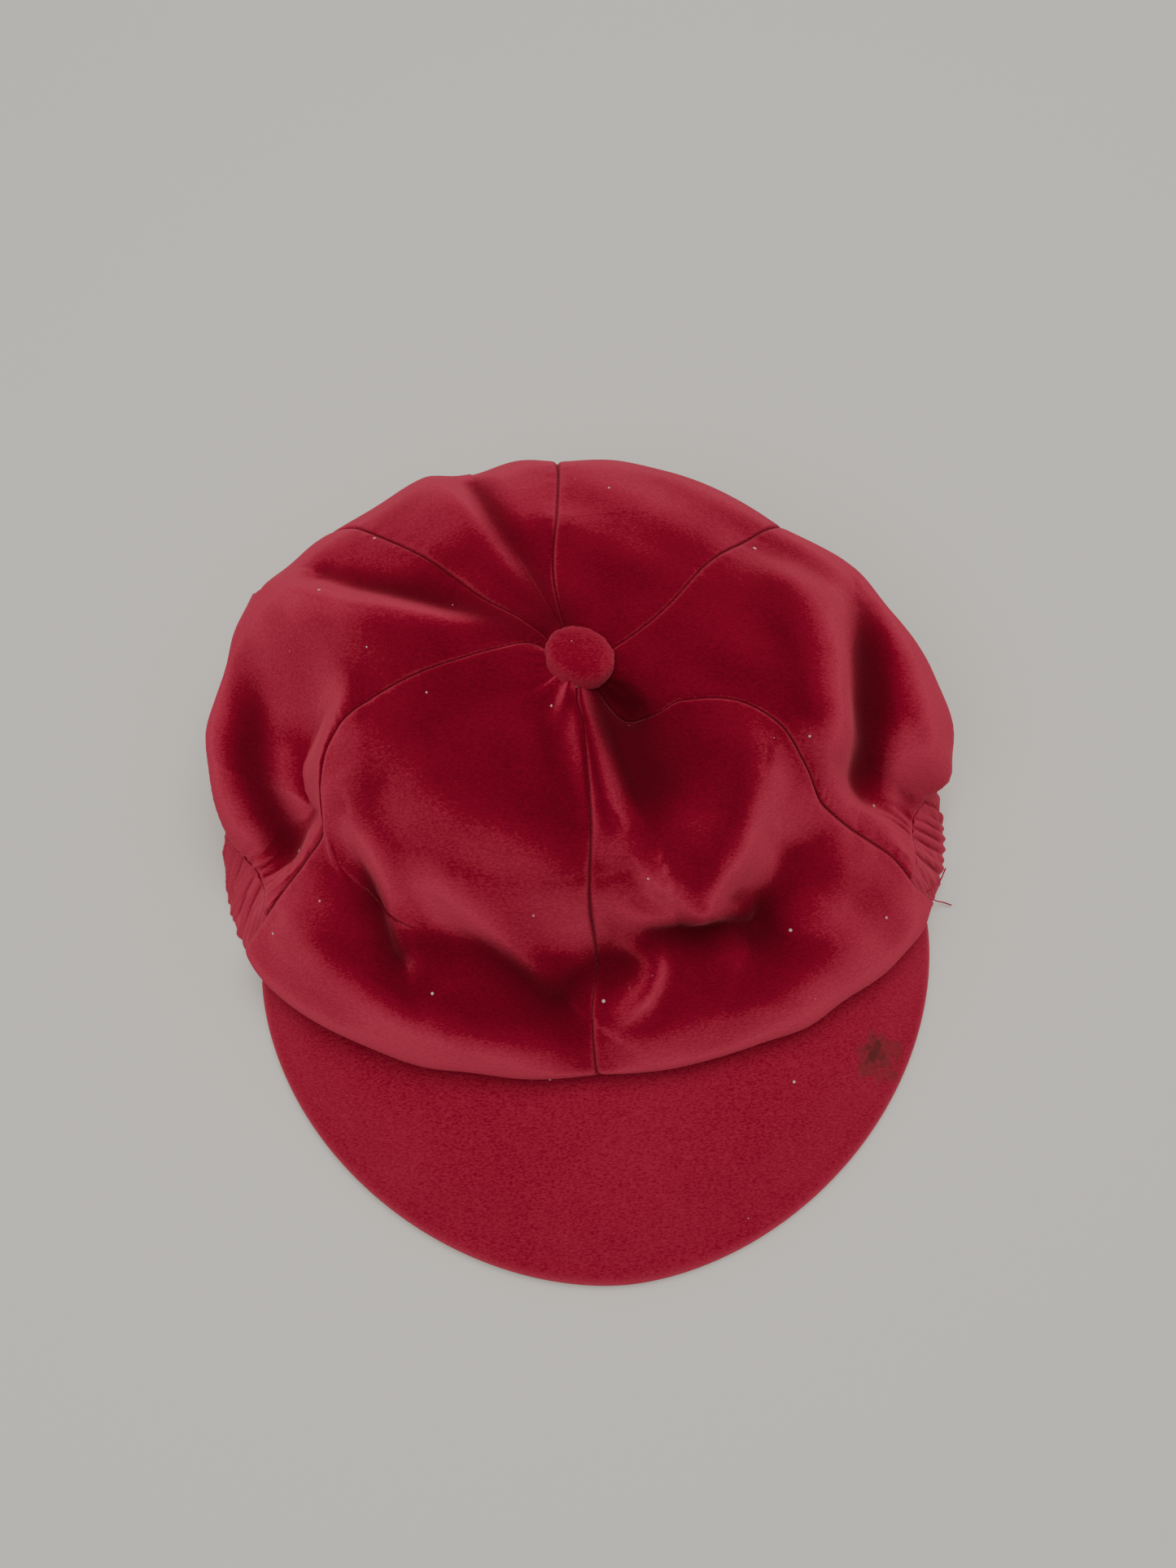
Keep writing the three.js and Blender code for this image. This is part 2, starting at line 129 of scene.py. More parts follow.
def bell(x):
    return np.exp(-x * x)


def wander(x, seed, waves=6, low=0.6, high=1.7):
    """A smooth, uneven wave of x, about -1 to 1, whose lengths spread about one turn per unit of x."""
    rng = np.random.default_rng(seed)
    rate = rng.uniform(low, high, waves)
    phase = rng.uniform(0, 2 * math.pi, waves)
    return sum(np.sin(2 * math.pi * r * x + p) for r, p in zip(rate, phase)) / math.sqrt(waves)


# ---------------------------------------------------------------- the crown's smooth surface

# Degrees round the opening: 0 is the front, positive is the wearer's left, 180 is the back.
KEY_ANGLES = [-150, -122, -92, -78, -66, -35, 0, 35, 66, 78, 92, 122, 150, 180]
OVERHANG = [41, 15, -7, -5, -1, 0, 1, 0, -1, -3, -3, 10, 31, 47]  # of the rim past the opening
STATIONS = [0, 0.12, 0.25, 0.37, 0.49, 0.57, 0.65, 0.73, 0.80, 0.90, 1.0]  # from the button to the foot
RIM = 7  # the station at the rim
REACH = [0, 0.20, 0.40, 0.55, 0.70, 0.81, 0.92, 1.0, 1.0, 1.0, 1.0]  # share of the way out to the rim
UNDER = [0, 0, 0, 0, 0, 0, 0, 0, 0.12, 0.5, 1.0]  # share of the way back in from the rim to the foot
HEIGHTS = {  # above the floor, at each station
    0: [75, 74, 70, 60, 42, 36.5, 33, 26, 24, 22, 20.5],
    35: [75, 74, 70, 59, 43, 37, 32, 23.5, 21, 18.5, 16],
    66: [75, 74, 69.5, 57, 43, 34, 25, 17, 15, 12, 9.4],
    78: [75, 74, 70, 60, 47, 38, 29, 21, 19, 17, 15],
    92: [75, 74, 71, 66, 54, 49, 43, 33, 29, 25, 20.3],
    122: [75, 75, 73, 69, 61, 57, 52, 43, 37, 28, 20.3],
    150: [75, 76, 75, 73, 68, 63, 57, 48, 41, 31, 20.3],
    180: [75, 76, 76, 75, 71, 67, 61, 51, 43, 31, 20.3],
}
HEIGHT_ROWS = np.array([HEIGHTS[abs(a)] for a in KEY_ANGLES], float)


def opening(angle, inset=0.0):
    """The head opening's edge at an angle in radians, moved in by inset."""
    sine, cosine = np.sin(angle), np.cos(angle)
    depth = np.where(cosine > 0, OPENING_FRONT, OPENING_BACK)
    outward = np.stack([sine / HALF_WIDTH, -cosine / depth], -1)
    outward /= np.linalg.norm(outward, axis=-1, keepdims=True)
    edge = np.stack([HALF_WIDTH * sine, CENTRE_Y - depth * cosine], -1)
    return edge - outward * np.asarray(inset, float)[..., None]


def smooth_crown(angle, share):
    """The crown without its folds: share is 0 at the button and 1 at the foot. Both are flat arrays."""
    degrees = np.degrees(angle)
    rim = opening(angle, -round_curve(degrees, KEY_ANGLES, OVERHANG))
    foot = opening(angle, np.zeros_like(angle))
    reach = curve(share, STATIONS, REACH)[:, None]
    under = curve(share, STATIONS, UNDER)[:, None]
    plan = BUTTON + (rim - BUTTON) * reach
    plan = plan + (foot - plan) * under
    rows = np.stack([round_curve(degrees, KEY_ANGLES, HEIGHT_ROWS[:, k]) for k in range(len(STATIONS))])
    return np.column_stack([plan, curve(share, STATIONS, rows)])


def crown_normal(angle, share):
    step = 2e-3
    round_it = smooth_crown(angle + step, share) - smooth_crown(angle - step, share)
    low, high = np.clip(share - step, 0.02, 1), np.clip(share + step, 0.02, 1)
    low = np.where(high - low < step, high - 2 * step, low)
    down = smooth_crown(angle, high) - smooth_crown(angle, low)
    n = np.cross(down, round_it)
    return n / np.maximum(np.linalg.norm(n, axis=1, keepdims=True), 1e-9)


def crown_place(x, y):
    """The angle and share of the upper crown over a point in plan."""
    turn = np.radians(np.linspace(-180, 180, 1441))
    rim = opening(turn, -round_curve(np.degrees(turn), KEY_ANGLES, OVERHANG)) - BUTTON
    bearing = np.unwrap(np.arctan2(rim[:, 0], -rim[:, 1]))
    p = np.array([x, y]) - BUTTON
    wanted = math.atan2(p[0], -p[1])
    k = np.argmin(np.abs((bearing - wanted + math.pi) % (2 * math.pi) - math.pi))
    reach = min(1.0, np.linalg.norm(p) / np.linalg.norm(rim[k]))
    shares = np.linspace(0, STATIONS[RIM], 400)
    return turn[k], float(np.interp(reach, curve(shares, STATIONS, REACH), shares))


# ---------------------------------------------------------------- seams, in plan

# Each seam runs out from the button through these points, and ends at this angle at the foot.
SEAMS = {
    "front": (0, [(-1, 32), (0, 24), (0, 5), (-2, -19), (-1, -33), (-4, -47)]),
    "right_front": (
        FRONT_SEAM,
        [(9, 30), (16, 27), (27, 30), (42, 29), (53, 23), (60, 14), (66, 4), (74, -1), (86, -7), (96, -16)],
    ),
    "right_back": (BACK_SEAM + 8, [(9, 45), (20, 52), (39, 70), (65, 91)]),
    "back": (180, [(-3, 56), (-2, 89), (0, 112)]),
    "left_back": (-BACK_SEAM - 2, [(-8, 50), (-13, 54), (-24, 63), (-42, 81), (-60, 98)]),
    "left_front": (
        -FRONT_SEAM,
        [(-9, 47), (-21, 47), (-37, 44), (-56, 39), (-68, 32), (-73, 20), (-74, 10), (-80, 4), (-94, -7)]
        + [(-101, -13)],
    ),
}


def seam_line(name, shares):
    """The seam's angle at each share of the way from the button to the foot."""
    foot, points = SEAMS[name]
    places = [crown_place(x, y) for x, y in points]
    angles = np.unwrap([a for a, _ in places] + [math.radians(foot)])
    keys = [s for _, s in places] + [1.0]
    return curve(shares, [0.0] + keys, np.concatenate([[angles[0]], angles]))


PANELS = {  # each panel lies between two seams, in the direction of rising angle
    "front_left": ("front", "right_front"),
    "side_left": ("right_front", "right_back"),
    "back_left": ("right_back", "back"),
    "back_right": ("back", "left_back"),
    "side_right": ("left_back", "left_front"),
    "front_right": ("left_front", "front"),
}

# ---------------------------------------------------------------- folds, in plan

# Each fold has its form, the points along it, the heights along it, and its widths on its left and
# its right as it runs. A round one swells like a roll of cloth. A sharp one comes to an edge along
# the line. A height below zero makes a valley.
ROUND, SHARP = 0, 1
FOLDS = [
    # pleats that the button draws in
    (ROUND, [(-40, 112), (-25, 86), (-15, 68), (-6, 54)], [2.5, 4, 4, 2.5], 6, 12),
    (ROUND, [(-5, 56), (-10, 68), (-18, 86), (-24, 106)], [-2, -2.8, -3, -2.5], 6, 8),
    (ROUND, [(-84, 78), (-50, 60), (-34, 55), (-18, 52), (-8, 48)], [4, 6, 5, 4, 1.5], 7, 13),
    (ROUND, [(-68, 81), (-42, 67), (-24, 58), (-10, 51)], [-2, -3.6, -3, -1.5], 8, 5),
    (SHARP, [(-9, 47), (-22, 49), (-37, 46)], [-1.5, -1.6, 0], 2, 5),
    (ROUND, [(-2, 38), (0.5, 24), (2.5, 10), (4, -2), (6, -13)], [4, 4.6, 4.2, 3, 0.5], 5, 4.5),
    (SHARP, [(4, 34), (9, 22), (13, 8), (16, -4)], [-3, -5.5, -5, -1.5], 13, 5),
    (ROUND, [(10, 33), (13, 29)], [-5, -6], 4, 4),
    (ROUND, [(-12, 36), (-10, 20), (-8, 2)], [-0.5, -1.8, 0], 5, 5),
    (ROUND, [(20, 56), (48, 60), (72, 54)], [0, 2, 3], 12, 12),
    # the wearer's left side: a roll down its middle, a valley outside that, and a pleat over the band
    (ROUND, [(60, 62), (65, 42), (70, 22)], [2, 3.5, 3], 9, 9),
    (ROUND, [(84, 60), (84, 38), (82, 18), (79, 5)], [-2.5, -5, -4.5, -1], 7, 9),
    (ROUND, [(96, 26), (105, 17), (113, 10)], [1, 3, 4.5], 4, 5),
    (SHARP, [(88, 14), (98, 9), (106, 8)], [-1, -2.5, -2], 4, 4),
    # the wearer's right side
    (ROUND, [(-94, 60), (-96, 36), (-90, 12)], [-1.5, -3.5, -3.5], 9, 8),
    # the roll along the front's foot, on the wearer's right
    (ROUND, [(-86, -12), (-70, -28), (-50, -43), (-31, -52), (-14, -57)], [1.5, 2.2, 2.2, 1.5, 0], 7, 6),
    # the front's drop: the creases along its foot, and the fingers of cloth that end there
    (SHARP, [(-72, 12), (-65, -2), (-61, -12), (-56, -25)], [0, -2.5, -4, -3.5], 5, 7),
    (ROUND, [(-63, 10), (-57, -8), (-54, -23)], [1, 3, 4], 6, 4),
    (SHARP, [(-52, -22), (-39, -25), (-30, -28), (-22, -34), (-13, -41)], [-1, -2, -3, -3.5, -3], 6, 9),
    (ROUND, [(-38, -16), (-24, -27), (-14, -38)], [1, 3, 3.5], 6, 4),
    (SHARP, [(-12, -40), (-8, -37), (-3, -35), (1, -33), (9, -33)], [-2, -2.5, -3, -3, -1.5], 5, 5),
    (ROUND, [(9, -4), (16, -14), (26, -20)], [1, 3, 3], 8, 4),
    (ROUND, [(46, 8), (38, -8), (28, -20)], [1.5, 2.5, 2.5], 7, 5),
    (SHARP, [(5, -26), (16, -27), (27, -27), (37, -26), (44, -27)], [-1, -3, -4.5, -3.5, -4], 4, 5),
    (ROUND, [(8, -22), (18, -23.5), (28, -23), (42, -24)], [1, 2, 2, 3], 3.5, 3),
    (SHARP, [(46, -24), (52, -14), (62, -5), (74, 2)], [-3, -2, -1.5, 0], 6, 8),
    (ROUND, [(10, -28), (14, -34), (11, -41), (2, -48)], [2, 3.5, 3.5, 1], 4, 4.5),
    (ROUND, [(3, -38), (7, -36)], [-1.5, -1.5], 4, 4),
]


def fold_height(plan, fold):
    """How far one fold lifts the cloth at each point in plan."""
    form, points, heights, left, right = fold
    count = 8 * len(points)
    line = through(points, count)
    lengths = np.concatenate([[0], np.cumsum(np.linalg.norm(np.diff(np.asarray(points, float), axis=0), axis=1))])
    along = curve(np.linspace(0, lengths[-1], count), lengths, heights)
    margin = 4 * max(left, right)
    near = np.all((plan > line.min(0) - margin) & (plan < line.max(0) + margin), axis=1)
    whole, plan = np.zeros(len(plan)), plan[near]
    best = np.full(len(plan), 1e9)
    lift = np.zeros(len(plan))
    for k in range(count - 1):
        a, d = line[k], line[k + 1] - line[k]
        t = np.clip(((plan - a) @ d) / (d @ d), 0, 1)
        off = plan - (a + t[:, None] * d)
        distance = np.linalg.norm(off, axis=1)
        side = d[0] * off[:, 1] - d[1] * off[:, 0]
        width = np.where(side > 0, left, right)
        ratio = distance / width
        shape = bell(ratio) if form == ROUND else np.exp(0.35 - np.sqrt(ratio * ratio + 0.12))
        value = (along[k] + t * (along[k + 1] - along[k])) * shape
        nearer = distance < best
        best[nearer] = distance[nearer]
        lift[nearer] = value[nearer]
    whole[near] = lift
    return whole


def folds(points, share, which=lambda height: True):
    """The lift of all the folds at points of the crown, which dies away under the rim."""
    plan = points[:, :2]
    lift = sum(fold_height(plan, fold) for fold in FOLDS if which(min(fold[2])))
    fade = np.clip((STATIONS[RIM + 1] - share) / 0.12, 0, 1)
    return lift * fade * fade * (3 - 2 * fade)


# ---------------------------------------------------------------- meshes


def to_object(name, points, faces, smooth=True):
    mesh = bpy.data.meshes.new(name)
    mesh.from_pydata((np.asarray(points) * MM).tolist(), [], [tuple(int(i) for i in f) for f in faces])
    mesh.validate()
    mesh.polygons.foreach_set("use_smooth", [smooth] * len(mesh.polygons))
    mesh.update()
    piece = bpy.data.objects.new(name, mesh)
    bpy.context.scene.collection.objects.link(piece)
    return piece


def attribute(piece, name, values):
    layer = piece.data.attributes.new(name, "FLOAT", "POINT")
    layer.data.foreach_set("value", np.asarray(values, np.float32))


def shell_faces(rows, columns, closed=False):
    """Faces of a sheet with two sides, each a grid of rows by columns, outer side first."""
    n = rows * columns
    i, j = np.meshgrid(np.arange(rows if closed else rows - 1), np.arange(columns - 1), indexing="ij")
    a, b = (i * columns + j).ravel(), (((i + 1) % rows) * columns + j).ravel()
    outer = np.stack([a, b, b + 1, a + 1], 1)
    inner = np.stack([a + n, a + n + 1, b + n + 1, b + n], 1)
    faces = [outer, inner]
    i = np.arange(rows if closed else rows - 1)
    for column, turn in ((0, 1), (columns - 1, -1)):
        a, b = i * columns + column, ((i + 1) % rows) * columns + column
        faces.append(np.stack([a, a + n, b + n, b], 1)[:, ::turn])
    if not closed:
        j = np.arange(columns - 1)
        for row, turn in ((0, -1), (rows - 1, 1)):
            a = row * columns + j
            faces.append(np.stack([a, a + n, a + n + 1, a + 1], 1)[:, ::turn])
    return np.concatenate(faces)


def outward(points, faces):
    """The faces, turned so that the closed mesh they make faces out."""
    p = points[faces]
    cross = np.cross(p[:, 1] - p[:, 0], p[:, 2] - p[:, 0]) + np.cross(p[:, 2] - p[:, 0], p[:, 3] - p[:, 0])
    volume = (p.mean(1) * cross).sum()
    return faces if volume > 0 else faces[:, ::-1]


def shell(name, outer, inner, closed=False):
    """A sheet between two grids of points with the same shape, (rows, columns, 3)."""
    rows, columns = outer.shape[:2]
    points = np.concatenate([outer.reshape(-1, 3), inner.reshape(-1, 3)])
    return to_object(name, points, outward(points, shell_faces(rows, columns, closed)))


def grid_normals(grid):
    across, along = np.gradient(grid, axis=0), np.gradient(grid, axis=1)
    n = np.cross(along, across)
    return n / np.maximum(np.linalg.norm(n, axis=2, keepdims=True), 1e-9)


# ---------------------------------------------------------------- crown panels

PANEL_ROWS, PANEL_COLUMNS = 92, 150
SEAM_GAP = 0.02
SEAM_DEPTH = 0.7
SEAM_WIDTH = 0.5
LIP_HEIGHT = 0.08
TEMPLE_SHARE = 0.645  # where the side panels end on the band, at the temples
ENDS = {"side_left": (TEMPLE_SHARE, 1), "side_right": (1, TEMPLE_SHARE)}


def smoothstep(x):
    x = np.clip(x, 0, 1)
    return x * x * (3 - 2 * x)


def foot_share(across, ends):
    """The share at which a panel ends, from one seam to the other."""
    start, end = ends
    if start < end:
        return start + (end - start) * smoothstep((across - 0.15) / 0.5)
    return end + (start - end) * smoothstep((0.85 - across) / 0.5)


def share_down(down, foot):
    """The share at each part of the way down a panel that ends at the share foot."""
    return down * (1 - (1 - foot) * smoothstep(down / 0.8))


# Where the side panels are sewn to the leaning band: degrees round the opening, inset and height.
TEMPLE_ANGLES = [66, 75, 85, 92, 99, 108, 124]
TEMPLE_INSETS = [15, 15, 14, 11, 5, 1, 0]
TEMPLE_HEIGHTS = [22, 22, 21.5, 21, 20.5, 20.3, 20.3]


def over_band(points, angle, down, across, ends):
    """Points of a side panel, drawn in to where its foot is sewn to the band."""
    low, high = min(ends), max(ends)
    if low == high:
        return points
    from_temple = across if ends[0] < ends[1] else 1 - across
    foot = smooth_crown(angle, foot_share(across, ends))
    degrees = np.abs(np.degrees((angle + math.pi) % (2 * math.pi) - math.pi))
    sewn = opening(angle, curve(degrees, TEMPLE_ANGLES, TEMPLE_INSETS))
    sewn = np.column_stack([sewn, curve(degrees, TEMPLE_ANGLES, TEMPLE_HEIGHTS)])
    pull = smoothstep((down - 0.5) / 0.5) * smoothstep(from_temple / 0.22)
    return points + (sewn - foot) * pull[:, None]


def panel_grid(name, rows, columns, first, last, margin):
    """Angles and shares over a panel, and how far down it each is. Rows cross from one seam to the other."""
    even = np.linspace(0, 1, rows)
    across = 0.5 * even + 0.5 * (0.5 - 0.5 * np.cos(math.pi * even))
    down = first + (last - first) * np.linspace(0, 1, columns) ** 1.08
    ends = ENDS.get(name, (1, 1))
    start, end = (seam_line(seam, share_down(down, foot)) for seam, foot in zip(PANELS[name], ends))
    end = start + (end - start) % (2 * math.pi)
    edge = smooth_crown(start, share_down(down, ends[0]))
    width = np.abs(end - start) * np.linalg.norm(edge[:, :2] - BUTTON, axis=1)
    trim = margin / np.maximum(width, 8)
    across = trim[None, :] + (1 - 2 * trim[None, :]) * across[:, None]
    angle = start[None, :] + (end - start)[None, :] * across
    down = np.broadcast_to(down, angle.shape)
    return angle, share_down(down, foot_share(across, ends)), down, across


def seam_distance(grid):
    """How far each point of a panel is from its nearer seam."""
    steps = np.linalg.norm(np.diff(grid, axis=0), axis=2)
    along = np.concatenate([np.zeros((1, grid.shape[1])), np.cumsum(steps, axis=0)])
    return np.minimum(along, along[-1:] - along)


def crown_surface(name, rows, columns, first, last, margin, fine=True):
    """A panel's points on the smooth crown, their outward normals, and how far its folds lift them."""
    angle, share, down, across = (v.ravel() for v in panel_grid(name, rows, columns, first, last, margin))
    points = over_band(smooth_crown(angle, share), angle, down, across, ENDS.get(name, (1, 1)))
    normals = crown_normal(angle, share)
    if name in ENDS:
        drawn = grid_normals(points.reshape(rows, columns, 3)).reshape(-1, 3)
        drawn *= np.sign((drawn * normals).sum())
        normals = normals + (drawn - normals) * smoothstep((down - 0.5) / 0.25)[:, None]
        normals /= np.linalg.norm(normals, axis=1, keepdims=True)
    lift = folds(points, share)
    off = seam_distance(points.reshape(rows, columns, 3)).ravel()
    lift += 1.8 * (1 - np.exp(-off / 12)) * np.sin(math.pi * np.clip(down, 0, 1)) ** 0.7
    lift += 0.7 * wander(points[:, 0] / 46 + points[:, 1] / 90, 11) * wander(points[:, 1] / 40, 12)
    if fine:
        lift += LIP_HEIGHT * bell((off - 2.0) / 1.5) - SEAM_DEPTH * bell(off / SEAM_WIDTH)
        lift += 0.04 * wander(down * 150 / 7, sum(map(ord, name))) * bell((off - 1.5) / 2.5)
        reach = np.linalg.norm(points[:, :2] - BUTTON, axis=1)
        lift += 0.45 * wander(np.degrees(angle) / 34, 5) * bell((reach - 9) / 7)
        back = smoothstep((np.abs(np.degrees((angle + math.pi) % (2 * math.pi) - math.pi)) - 62) / 10)
        slant = angle * 100 / 8 + 0.3 * wander(down * 3, 22)
        hem = np.clip((down - 0.84) / 0.16, 0, 1) ** 1.5 * (1 - bell((1 - down) / 0.02))
        lift += 0.9 * wander(slant, 21) * back * hem
    shape = (rows, columns)
    return points.reshape(*shape, 3), normals.reshape(*shape, 3), lift.reshape(shape), off.reshape(shape)


def crown_panel(name):
    points, normals, lift, off = crown_surface(name, PANEL_ROWS, PANEL_COLUMNS, 0.02, 1.0, SEAM_GAP)
    outer = points + normals * lift[..., None]
    piece = shell("velvet_panel_" + name, outer, outer - normals * VELVET)
    # The crest value paints light and shade into the velvet's colour: painted highlights on bulges and along the
    # seams' lips, painted shade in creases and down the seam lines.
    crest = 0.7 * convexity(outer, normals) * (1 - bell(off / 5)) + 0.04 * bell((off - 1.6) / 0.9)
    crest -= 0.7 * bell(off / 0.5)
    attribute(piece, "crest", np.concatenate([crest.ravel(), np.zeros(crest.size)]))
    flat = points.reshape(-1, 3)
    share = np.linspace(0.02, 1.0, PANEL_COLUMNS)
    # Painted shade, deepest in the folds' valleys and along the seams, where the light does not reach.
    fold_shade = -folds(flat, np.tile(np.minimum(share, 0.6), PANEL_ROWS), lambda height: height < 0)
    fold_shade = np.maximum(np.clip(fold_shade / 5, 0, 1), 0.5 * bell(off.ravel() / 1.2))
    attribute(piece, "fold_shade", np.concatenate([fold_shade, np.zeros(fold_shade.size)]))
    return piece


def crown_layer(name, piece_name, depth, thickness, first, last, margin=0.3, rows=34, columns=60):
    """A cloth layer inside one crown panel, with its outer face this deep under the velvet's."""
    points, normals, lift, _ = crown_surface(name, rows, columns, first, last, margin, fine=False)
    outer = points + normals * (lift - depth)[..., None]
    return shell(piece_name, outer, outer - normals * thickness)


def convexity(grid, normals):
    """How much the surface bulges at each point, smoothed, from about -1 in a crease to 1 on a crest."""
    value = np.zeros(grid.shape[:2])
    for axis in (0, 1):
        for reach in (3, 5, 8):
            ahead = np.roll(grid, -reach, axis)
            behind = np.roll(grid, reach, axis)
            gap = np.linalg.norm(ahead - behind, axis=2) / 2
            bend = ((grid - (ahead + behind) / 2) * normals).sum(2) / np.maximum(gap, 2.5)
            edge = [slice(None)] * 2
            for cut in (slice(0, reach), slice(-reach, None)):
                edge[axis] = cut
                bend[tuple(edge)] = 0
            value += bend
    return np.tanh(value * 1.3)


# ---------------------------------------------------------------- band, elastic and sweatband


def wrap(degrees):
    return (np.asarray(degrees) + 180) % 360 - 180


def by_length(points, count):
    """Points spread evenly along a line of them."""
    s = np.concatenate([[0], np.cumsum(np.linalg.norm(np.diff(points, axis=0), axis=1))])
    at = np.linspace(0, s[-1], count)
    return np.stack([np.interp(at, s, points[:, k]) for k in range(3)], 1)


def crown_hem():
    """The crown's lower edge over the band, from the wearer's left temple round to the right one."""
    feet = []
    for name in ("side_left", "back_left", "back_right", "side_right"):
        points, normals, lift, _ = crown_surface(name, 60, 24, 0.02, 1.0, SEAM_GAP)
        feet.append(points[:, -1] + normals[:, -1] * lift[:, -1:])
    return by_length(np.concatenate(feet), 721)


BAND_START = 66.3
HEM = crown_hem()
FLOOR_TURNS = np.linspace(BAND_START, 360 - BAND_START, 2001)
FLOOR_LINE = opening(np.radians(FLOOR_TURNS), np.zeros(2001))
FLOOR_WAY = np.concatenate([[0], np.cumsum(np.linalg.norm(np.diff(FLOOR_LINE, axis=0), axis=1))])
FLOOR_WAY /= FLOOR_WAY[-1]


def band_wall(degrees, height, inset):
    """The band's wall, leaning with the crown's edge: height is a share from its foot to its top."""
    degrees = np.asarray(degrees) % 360
    way = np.interp(degrees, FLOOR_TURNS, FLOOR_WAY)
    top = np.stack([np.interp(way, np.linspace(0, 1, len(HEM)), HEM[:, k]) for k in range(3)], 1)
    angle = np.radians(degrees)
    foot = opening(angle, np.full(angle.shape, -1.5))
    end = np.radians(np.where(degrees < 180, np.maximum(degrees, BAND_START), np.minimum(degrees, 360 - BAND_START)))
    beyond = foot - opening(end, np.full(end.shape, -1.5))
    top = top + np.column_stack([1.15 * beyond, -0.7 * np.linalg.norm(beyond, axis=1)])
    direction = opening(angle, np.ones_like(angle)) - opening(angle, np.zeros_like(angle))
    plan = foot + (top[:, :2] - foot) * height[:, None] + direction * inset[:, None]
    return np.column_stack([plan, (top[:, 2] - 0.3) * height])


BAND_DEPTH = 3.4  # from the casing's outer face to its inner one
BAND_TUCK = 4.6  # degrees of the casing's ends that are sewn in under the front panels


def band_profile(degrees, seed):
    """The casing cloth's outer side at one angle: down its outer wall, round its fold, and up inside."""
    up = np.linspace(1, 0.06, 22)
    turn = np.linspace(0, math.pi, 7)[1:-1]
    gather = 0.7 * wander(degrees / 4.2 + 0.7 * up, seed) + 0.2 * wander(degrees / 2.2 - 0.4 * up, seed + 1)
    ends = 0.35 + 0.65 * np.sin(math.pi * up) ** 0.5
    wall = -0.9 * np.sin(math.pi * up) - gather * ends
    bow = BAND_DEPTH / 2 * (1 - np.cos(turn))
    inset = np.concatenate([wall, wall[-1] + bow, np.full(14, BAND_DEPTH)])
    height = np.concatenate([up, 0.06 - 0.06 * np.sin(turn), np.linspace(0.06, 0.97, 14)])
    tuck = smoothstep((BAND_START - abs(wrap(degrees))) / 1.5)
    inset = inset * (1 - 0.6 * tuck) + 1.3 * tuck * smoothstep((height - 0.2) / 0.3)
    return band_wall(np.full(len(inset), degrees), height, inset)


def band_casing():
    turns = np.linspace(BAND_START - BAND_TUCK, 360 - BAND_START + BAND_TUCK, 640)
    outer = np.stack([band_profile(t, 41) for t in turns])
    n = grid_normals(outer)
    away = outer - np.array([0, CENTRE_Y + 10, 10])
    face = np.sign((n[:, :18] * away[:, :18]).sum())
    piece = shell("velvet_band", outer, outer - n * face * VELVET * 0.8)
    # Painted highlights on the gathers' crests and painted shade in the folds between them.
    crest = convexity(outer, n * face)
    attribute(piece, "crest", np.concatenate([crest.ravel(), np.zeros(crest.size)]))
    return piece


def band_strip(name, turns, low, high, inset, thickness, closed=False, heights=5):
    """A plain strip that follows the band's wall inside it."""
    ups = np.linspace(0, 1, heights)
    faces = []
    for depth in (inset, inset + thickness):
        rows = []
        for t in turns:
            rows.append(band_wall(np.full(heights, t), low + (high - low) * ups, np.full(heights, depth)))
        faces.append(np.stack(rows))
    return shell(name, faces[0], faces[1], closed)


def sweatband_wall(turns, inset):
    """The sweatband's wall, a line of points up it at each turn. It stands behind the band, and leans in
    with the crown at the front."""
    heights = 12
    ups = np.tile(np.linspace(0, 1, heights), len(turns))
    degrees = np.repeat(wrap(turns), heights).astype(float)
    angle = np.radians(degrees)
    front = smoothstep((78 - np.abs(degrees)) / 14)[:, None]
    share = 1.0 - 0.36 * ups
    points, normals = smooth_crown(angle, share), crown_normal(angle, share)
    sunk = np.minimum(folds(points, share), 0)
    follow = points + normals * (sunk - 5.0 - inset)[:, None]
    follow[:, 2] = np.maximum(follow[:, 2], 2 + ups)
    stand = band_wall(degrees, 0.05 + 1.05 * ups, BAND_DEPTH + 1.1 + inset + 1.5 * ups)
    return (follow * front + stand * (1 - front)).reshape(len(turns), heights, 3)


def sweatband():
    turns = np.linspace(0, 360, 241)[:-1]
    return shell("sweatband_strip", sweatband_wall(turns, 0.0), sweatband_wall(turns, 1.0), closed=True)


# ---------------------------------------------------------------- peak

PEAK_HALF = (PEAK_HIGH[0] - PEAK_LOW[0]) / 2
PEAK_FRONT = PEAK_LOW[1]
PEAK_ROOT = CENTRE_Y - 30.0
PEAK_EDGE = 2.2  # the radius of the peak's rolled edge
PEAK_POINT = 1.08  # 1 makes the peak's outline an ellipse, and more draws in its shoulders


def peak_surface(across, out):
    """The peak's middle surface. across runs from -1 to 1, and out from the seam to the edge."""
    angle = np.radians(63.5) * across
    seam = opening(angle, np.full_like(angle, 2.6))
    sweep = np.radians(88) * across
    sine, cosine = np.sin(sweep), np.cos(sweep)
    aside = np.sign(sine) * PEAK_HALF * np.abs(sine) ** PEAK_POINT
    ahead = PEAK_ROOT + (PEAK_FRONT - PEAK_ROOT) * np.abs(cosine) ** PEAK_POINT
    edge = np.column_stack([aside, ahead])
    plan = seam + (edge - seam) * out[:, None]
    lift = FRONT_LIFT * np.maximum(0, np.cos(angle)) ** 1.5 * (1 - out) ** 1.2
    height = lift + 3.0 * np.sin(math.pi * out) * cosine + PEAK_THICKNESS / 2
    height += 0.5 * wander(plan[:, 0] / 75, 51, 4) * wander(plan[:, 1] / 50, 52, 4) * np.sin(math.pi * out) ** 0.5
    return np.column_stack([plan, height])


